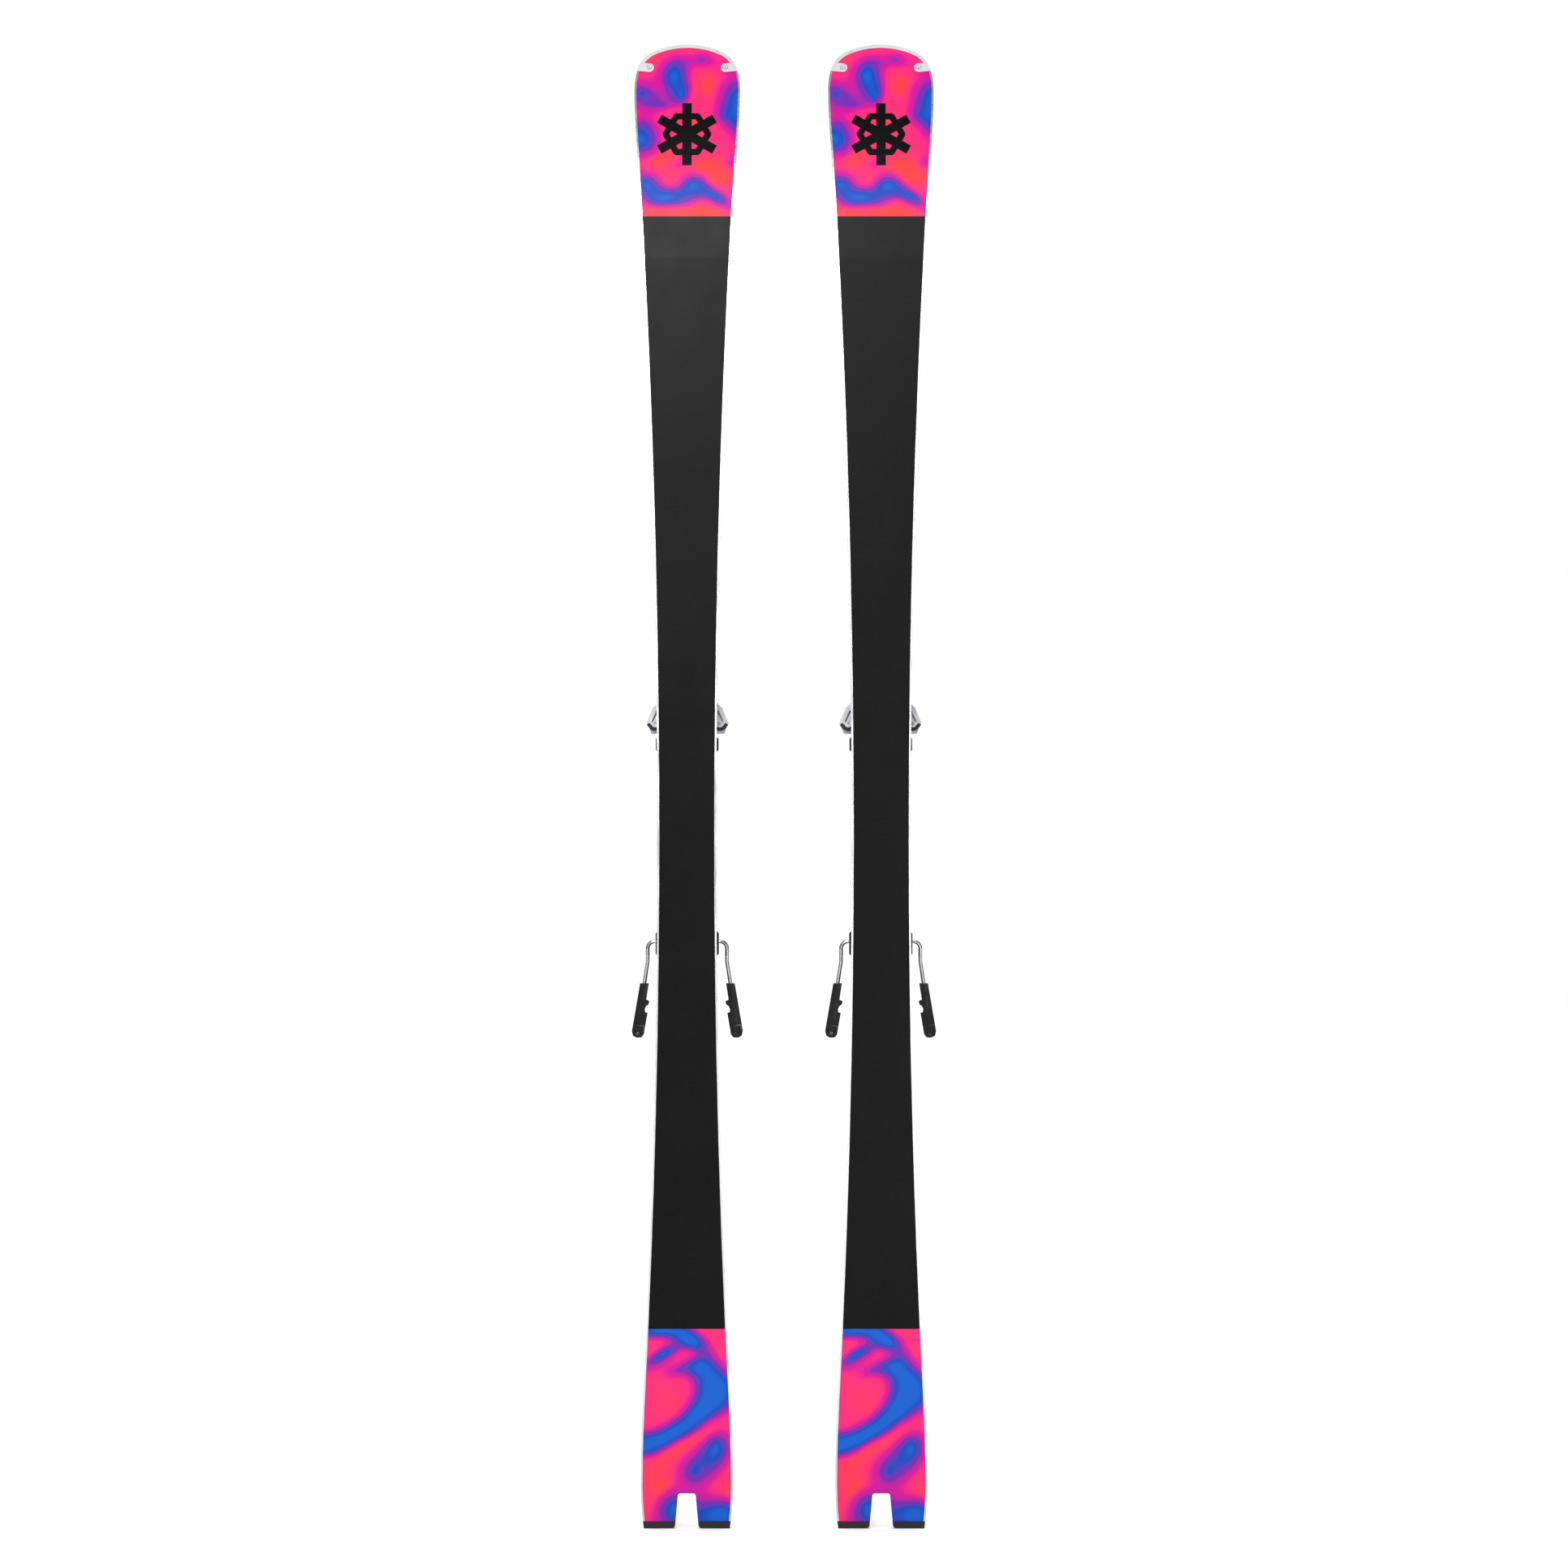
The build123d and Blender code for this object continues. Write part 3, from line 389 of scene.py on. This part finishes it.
def two_tone(name, low_colour, high_colour, split_y):
    """A moulded shell over a foot of another colour, parted at a height above the base."""
    s = Shader(name, Roughness=0.3)
    s.put("Specular IOR Level", 0.3)
    cloud = s.range(s.noise(25.0, 3.0), *SPAN)
    high = s.mix(cloud, toned(high_colour, 0.95), high_colour)
    low = s.mix(cloud, toned(low_colour, 0.8), low_colour)
    above = s.math("GREATER_THAN", s.split(s.place)[1], split_y)
    s.put("Base Color", s.mix(above, low, high))
    s.put("Roughness", s.range(s.noise(80.0, 5.0, 0.65), 0.3, 0.75, 0.24, 0.4))
    s.put("Normal", s.bump(s.noise(2200.0, 2.0), 0.3, 0.02 * MM))
    return s.material


BLACK = rgb(17, 17, 19)
WHITE = rgb(186, 187, 189)
TOE_FOOT_TOP = 0.0405  # where the toe housing's black foot ends, in metres above the base
LOOKS = {
    "base_black": running_base("base_black"),
    "edge_steel": metal("edge_steel", (0.5, 0.51, 0.52, 1), 0.24, (900.0, 900.0, 30.0)),
    "laminate_metal": metal("laminate_metal", (0.6, 0.6, 0.62, 1), 0.35, (300.0, 900.0, 20.0)),
    "core_wood": wood("core_wood"),
    "sidewall_white": moulded("sidewall_white", WHITE, 0.34, 0.25),
    "tip_white": moulded("tip_white", rgb(180, 181, 183), 0.36, 0.3),
    "cap_black": moulded("cap_black", BLACK, 0.45, 0.5, 0.3),
    "screw_steel": metal("screw_steel", (0.72, 0.72, 0.74, 1), 0.28, (700.0, 700.0, 700.0)),
    "plate_black": moulded("plate_black", rgb(20, 20, 22), 0.5, 0.6, 0.3),
    "toe_shell": two_tone("toe_shell", BLACK, WHITE, TOE_FOOT_TOP),
    "wing_white": moulded("wing_white", rgb(184, 186, 189), 0.3, 0.25),
    "pad_black": rubber("pad_black", rgb(14, 14, 15)),
    "pin_steel": metal("pin_steel", (0.7, 0.71, 0.73, 1), 0.22, (60.0, 1400.0, 60.0)),
    "spring_steel": metal("spring_steel", (0.35, 0.36, 0.38, 1), 0.3, (500.0, 500.0, 500.0)),
    "release_metal": metal("release_metal", (0.7, 0.7, 0.72, 1), 0.25, (900.0, 900.0, 60.0)),
    "afd_grey": moulded("afd_grey", rgb(120, 122, 126), 0.28, 0.2),
    "heel_shell": moulded("heel_shell", rgb(19, 19, 21), 0.3, 0.35, 0.35),
    "cup_black": moulded("cup_black", rgb(15, 15, 17), 0.38, 0.5, 0.3),
    "lever_white": moulded("lever_white", WHITE, 0.3, 0.25),
    "brake_black": moulded("brake_black", rgb(10, 10, 11), 0.44, 0.5, 0.15),
    "pedal_black": moulded("pedal_black", rgb(17, 17, 19), 0.5, 0.6, 0.3),
    "wire_steel": metal("wire_steel", (0.36, 0.37, 0.38, 1), 0.09, (400.0, 400.0, 30.0), 0.05),
    "foot_black": moulded("foot_black", rgb(9, 9, 10), 0.3, 0.5, 0.15),
}
SLOT_OF = {part["node"]: part["material_slot"] for part in frame["record"]["subparts"]}
PRINTS = {}
for side in SIDES:
    PRINTS[side, "base_print"] = printed_base(f"{side}_base_print", SKI_X[side])
    PRINTS[side, "topsheet_print"] = top_sheet(f"{side}_topsheet_print", SKI_X[side])


def look_for(node):
    """The material of a CAD piece: its own ski's print, or the look of its slot."""
    side, slot = node.split("_", 1)[0], SLOT_OF[node]
    return PRINTS.get((side, slot)) or LOOKS[slot]


def paint(obj, material):
    obj.data.materials.clear()
    obj.data.materials.append(material)


def placed(name, data):
    """A new object in the scene."""
    obj = bpy.data.objects.new(name, data)
    bpy.context.scene.collection.objects.link(obj)
    return obj


def mesh_from(name, work):
    """The mesh that a bmesh has built, which is then freed."""
    mesh = bpy.data.meshes.new(name)
    work.to_mesh(mesh)
    work.free()
    return mesh


def smooth(mesh):
    for polygon in mesh.polygons:
        polygon.use_smooth = True


def thicken(piece, thick):
    """Gives a flat piece a thickness below its surface, in millimetres."""
    solid = piece.modifiers.new("thickness", "SOLIDIFY")
    solid.thickness = thick * MM
    solid.offset = -1.0


for node, obj in NODES.items():
    paint(obj, look_for(node))

# ------------------------------------------------------------------ softened copies of CAD pieces
WELD = 1e-6  # vertices closer than this are one, in metres
FLAT_ANGLE, SHARP_ANGLE = math.radians(1.5), math.radians(28.0)


def softened(node, width):
    """A copy of a CAD piece with its sharp edges rounded over, which stands for it."""
    mesh = NODES[node].data.copy()
    work = bmesh.new()
    work.from_mesh(mesh)
    bmesh.ops.remove_doubles(work, verts=work.verts, dist=WELD)
    bmesh.ops.dissolve_limit(
        work,
        angle_limit=FLAT_ANGLE,
        verts=work.verts,
        edges=work.edges,
        use_dissolve_boundaries=False,
    )
    work.to_mesh(mesh)
    work.free()
    piece = placed(f"{node}_finish", mesh)
    smooth(mesh)
    bevel = piece.modifiers.new("round_over", "BEVEL")
    bevel.width = width * MM
    bevel.segments = 2
    bevel.limit_method = "ANGLE"
    bevel.angle_limit = SHARP_ANGLE
    bevel.harden_normals = True
    bevel.use_clamp_overlap = True
    paint(piece, look_for(node))
    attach(piece, BODY_OF[node])
    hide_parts(node)


# The width of the round-over on each piece, in millimetres
SOFTENED = {
    "toe_housing": 0.8,
    "toe_wing_l": 0.5,
    "toe_wing_r": 0.5,
    "wing_pad_l": 0.5,
    "wing_pad_r": 0.5,
    "afd": 0.4,
    "heel_housing": 0.9,
    "heel_cup": 0.8,
    "heel_lever": 0.8,
    "brake_housing": 0.7,
    "brake_pedal": 0.5,
    "brake_feet": 0.6,
    "binding_plate": 0.6,
}
for side in SIDES:
    for name, width in SOFTENED.items():
        softened(f"{side}_{name}", width)

# ------------------------------------------------------------------ small parts laid on the binding
LOOKS["window_smoke"] = moulded("window_smoke", rgb(8, 8, 10), 0.12, 0.05)
LOOKS["mark_white"] = moulded("mark_white", rgb(215, 216, 218), 0.4, 0.1)
LOOKS["mark_pink"] = moulded("mark_pink", rgb(225, 40, 110), 0.35, 0.1)
# A dark metal that paints the shade inside the screw heads' cross recesses
LOOKS["recess_dark"] = metal("recess_dark", (0.09, 0.09, 0.1, 1), 0.4, (900.0, 900.0, 900.0))
FAR = 0.2  # how far outside a piece the rays start that look for its surface, in metres


def on_ski(node, centre):
    """A place given in millimetres from the ski's axes, as a place in the scene."""
    return Vector((SKI_X[node.split("_", 1)[0]], 0, 0)) + Vector(centre) * MM


def laid_on(
    name, node, centre, half, look, slot, lift=0.25, corner=0.3, steps=(12, 10), thick=0.5
):
    """A thin plate with rounded corners that follows the upper surface of a piece.

    Lengths are in millimetres, and the centre is measured from the ski's axes.
    """
    middle = on_ski(node, centre)
    out, along = Vector(UP), Vector(TIPWARD)
    across = along.cross(out)
    surface = NODES[node].data
    corners, faces = [v.co for v in surface.vertices], [p.vertices for p in surface.polygons]
    tree = BVHTree.FromPolygons(corners, faces)
    work = bmesh.new()
    grid = []
    for i in range(steps[0] + 1):
        row = []
        for j in range(steps[1] + 1):
            u, v = 2 * i / steps[0] - 1, 2 * j / steps[1] - 1
            flat_u = u * math.sqrt(1 - corner * v * v / 2) * half[0] * MM
            flat_v = v * math.sqrt(1 - corner * u * u / 2) * half[1] * MM
            start = middle + across * flat_u + along * flat_v + out * FAR
            place = tree.ray_cast(start, -out)[0]
            if place is None:
                raise ValueError(f"{name} doesn't lie on {node}")
            row.append(work.verts.new(place + out * lift * MM))
        grid.append(row)
    for i in range(steps[0]):
        for j in range(steps[1]):
            work.faces.new((grid[i][j], grid[i + 1][j], grid[i + 1][j + 1], grid[i][j + 1]))
    bmesh.ops.recalc_face_normals(work, faces=work.faces)
    work.faces.ensure_lookup_table()
    if work.faces[0].normal.dot(out) < 0:
        bmesh.ops.reverse_faces(work, faces=work.faces)
    piece = placed(name, mesh_from(name, work))
    smooth(piece.data)
    thicken(piece, thick)
    paint(piece, LOOKS[look])
    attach(piece, BODY_OF[node])


# A window's marks and pointer, as shares of its half width across and half length along, except for
# the two half heights, which are in millimetres
MARKS, MARKS_SPAN, MARKS_X, MARK_HEIGHT = 6, 1.5, -0.15, 0.35
LONG_MARK, SHORT_MARK = 0.55, 0.35
POINTER_X, POINTER_WIDTH, POINTER_HEIGHT = 0.62, 0.2, 1.1
MARK_SHAPE = dict(lift=0.4, corner=0.0, steps=(4, 1), thick=0.3)
POINTER_SHAPE = dict(lift=0.45, corner=0.9, steps=(4, 4), thick=0.3)


def value_scale(side, node, z, half, slot, pointer):
    """A smoked window with a scale of marks and a pink pointer, which shows the release value."""
    base = f"{side}_{node}"
    wide, long = half
    laid_on(f"{base}_window", base, (0, 0, z), half, "window_smoke", slot)
    for k in range(MARKS):
        at = z + long * (MARKS_SPAN * k / (MARKS - 1) - MARKS_SPAN / 2)
        size = (wide * (LONG_MARK if k % 2 else SHORT_MARK), MARK_HEIGHT)
        place = (wide * MARKS_X, 0, at)
        laid_on(f"{base}_mark_{k}", base, place, size, "mark_white", slot, **MARK_SHAPE)
    place, size = (wide * POINTER_X, 0, z + pointer), (wide * POINTER_WIDTH, POINTER_HEIGHT)
    laid_on(f"{base}_pointer", base, place, size, "mark_pink", slot, **POINTER_SHAPE)


# The painted shade crosses on the screw heads: size, lift and thickness in millimetres, and the
# arm's half width as a share of the size
SHADE_CROSS_SIZE, SHADE_CROSS_ARM, SHADE_CROSS_LIFT, SHADE_CROSS_THICK = 2.9, 0.3, 0.12, 0.3


def painted_recess_shade(name, node, centre):
    """Painted shade of a screw head's cross-shaped recess: a thin dark cross laid on the head, with
    no hole cut.
    """
    middle, out = on_ski(node, centre), Vector(UP)
    turn = out.to_track_quat("Z", "Y")
    arm, half = SHADE_CROSS_SIZE * MM, SHADE_CROSS_SIZE * SHADE_CROSS_ARM * MM
    outline = [(half, half), (half, arm), (-half, arm), (-half, half)]
    outline += [(-arm, half), (-arm, -half), (-half, -half), (-half, -arm)]
    outline += [(half, -arm), (half, -half), (arm, -half), (arm, half)]
    work = bmesh.new()
    ring = [work.verts.new(middle + turn @ Vector((a, b, SHADE_CROSS_LIFT * MM))) for a, b in outline]
    face = work.faces.new(ring)
    if face.normal.dot(out) < 0:
        face.normal_flip()
    piece = placed(name, mesh_from(name, work))
    thicken(piece, SHADE_CROSS_THICK)
    paint(piece, LOOKS["recess_dark"])
    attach(piece, BODY_OF[node])


# The release-value windows: piece, height along the ski, half size, slot, and the pointer's offset
WINDOWS = (
    ("toe_housing", 975, (5, 9), "toe_shell", 3),
    ("heel_housing", 527, (6, 9), "heel_shell", -2),
)
PLATE_SCREW_X, PLATE_SCREW_Z, PLATE_TOP = 19, (712, 868, 1018), 27
FLASH_X, FLASH_Z = 14, 958
FLASH_HALF, FLASH_SHAPE = (1.1, 16), dict(lift=0.2, corner=0.9, steps=(4, 16))
for side in SIDES:
    toe = f"{side}_toe_housing"
    for window in WINDOWS:
        value_scale(side, *window)
    for way, letter in ((-1, "l"), (1, "r")):
        name, place = f"{side}_toe_flash_{letter}", (way * FLASH_X, 0, FLASH_Z)
        laid_on(name, toe, place, FLASH_HALF, "window_smoke", "toe_shell", **FLASH_SHAPE)
        for row, z in enumerate(PLATE_SCREW_Z):
            name = f"{side}_plate_recess_{letter}_{row}"
            # Each plate screw gets a painted shade cross where its recess is
            painted_recess_shade(name, f"{side}_screws", (way * PLATE_SCREW_X, PLATE_TOP, z))

# ------------------------------------------------------------------ stage: floor, light, camera
DISTANCE, EYE_HEIGHT = 6.0, 0.8496
FRAME_WIDTH, SENSOR = 1.789, 36.0
FLOOR_RADIUS, FLOOR_DROP = 14.0, 0.0005
SUN_POWER, SUN_SPREAD = 2.05, 50
# The room's greys from straight down to straight up, as (position, grey)
ROOM_STOPS = [(0.0, 0.2), (0.40, 0.06), (0.52, 0.08), (0.72, 0.35), (1.0, 0.8)]
# The lamps: name, place, target, width, height, power in watts
LAMPS = (
    ("key", (-3.4, -3.4, 2.2), (0, 0, 0.85), 1.6, 3.0, 26),
    ("fill", (3.6, -3.0, 1.4), (0, 0, 0.8), 1.6, 3.0, 18),
    ("over_camera", (-0.75, -5.6, 2.6), (0, 0, 1.2), 1.5, 1.4, 190),
    ("low_right", (0.8, -5.8, 0.35), (0.1, 0, 0.4), 0.5, 0.5, 16),
    ("back_left", (-3.0, 3.8, 2.0), (0, 0, 0.85), 1.2, 3.0, 24),
    ("back_right", (3.0, 3.6, 1.6), (0, 0, 0.8), 1.2, 2.6, 9),
)


def disc_floor():
    """A round white floor just below the tails."""
    work = bmesh.new()
    bmesh.ops.create_circle(work, cap_ends=True, segments=96, radius=FLOOR_RADIUS)
    floor = placed("floor", mesh_from("floor", work))
    s = Shader("floor_paint", Roughness=0.8)
    s.put("Specular IOR Level", 0.1)
    cloud = s.range(s.noise(2.0, 3.0), *SPAN)
    s.put("Base Color", s.mix(cloud, (0.93, 0.93, 0.93, 1), (0.95, 0.95, 0.95, 1)))
    paint(floor, s.material)
    floor.location.z = -FLOOR_DROP


def area_light(name, place, target, wide, high, power):
    """A rectangular lamp turned towards a target."""
    lamp = bpy.data.lights.new(name, "AREA")
    lamp.shape = "RECTANGLE"
    lamp.size, lamp.size_y = wide, high
    lamp.energy = power
    obj = placed(name, lamp)
    obj.location = place
    obj.rotation_euler = (Vector(target) - Vector(place)).to_track_quat("-Z", "Y").to_euler()


def studio_world():
    """Plain white to the camera, and a bright ceiling over dim walls for surfaces to reflect."""
    world = bpy.data.worlds.new("studio")
    bpy.context.scene.world = world
    world.use_nodes = True
    tree = world.node_tree
    seen = tree.nodes["Background"]
    seen.inputs["Color"].default_value = (1, 1, 1, 1)
    room = tree.nodes.new("ShaderNodeBackground")
    direction = tree.nodes.new("ShaderNodeTexCoord")
    split = tree.nodes.new("ShaderNodeSeparateXYZ")
    tree.links.new(direction.outputs["Generated"], split.inputs[0])
    ramp = tree.nodes.new("ShaderNodeValToRGB")
    elements = ramp.color_ramp.elements
    while len(elements) < len(ROOM_STOPS):
        elements.new(0.5)
    for element, (position, grey) in zip(elements, ROOM_STOPS):
        element.position, element.color = position, (grey, grey, grey, 1)
    height = tree.nodes.new("ShaderNodeMath")
    height.operation = "MULTIPLY_ADD"
    height.inputs[1].default_value, height.inputs[2].default_value = 0.5, 0.5
    tree.links.new(split.outputs[2], height.inputs[0])
    tree.links.new(height.outputs[0], ramp.inputs[0])
    tree.links.new(ramp.outputs[0], room.inputs["Color"])
    eye = tree.nodes.new("ShaderNodeLightPath")
    mix = tree.nodes.new("ShaderNodeMixShader")
    tree.links.new(eye.outputs["Is Camera Ray"], mix.inputs[0])
    tree.links.new(room.outputs[0], mix.inputs[1])
    tree.links.new(seen.outputs[0], mix.inputs[2])
    tree.links.new(mix.outputs[0], tree.nodes["World Output"].inputs["Surface"])


def ceiling_sun():
    """Light from straight above, which keeps the floor white at every distance."""
    lamp = bpy.data.lights.new("ceiling", "SUN")
    lamp.energy = SUN_POWER
    lamp.angle = math.radians(SUN_SPREAD)
    placed("ceiling", lamp)


disc_floor()
studio_world()
ceiling_sun()
for lamp in LAMPS:
    area_light(*lamp)

camera_data = bpy.data.cameras.new("camera")
camera_data.sensor_width = SENSOR
camera_data.lens = SENSOR * DISTANCE / FRAME_WIDTH
camera = placed("camera", camera_data)
camera.location = (0.0, -DISTANCE, EYE_HEIGHT)
camera.rotation_euler = (math.radians(90), 0, 0)
bpy.context.scene.camera = camera
bpy.context.scene.view_settings.view_transform = "Standard"
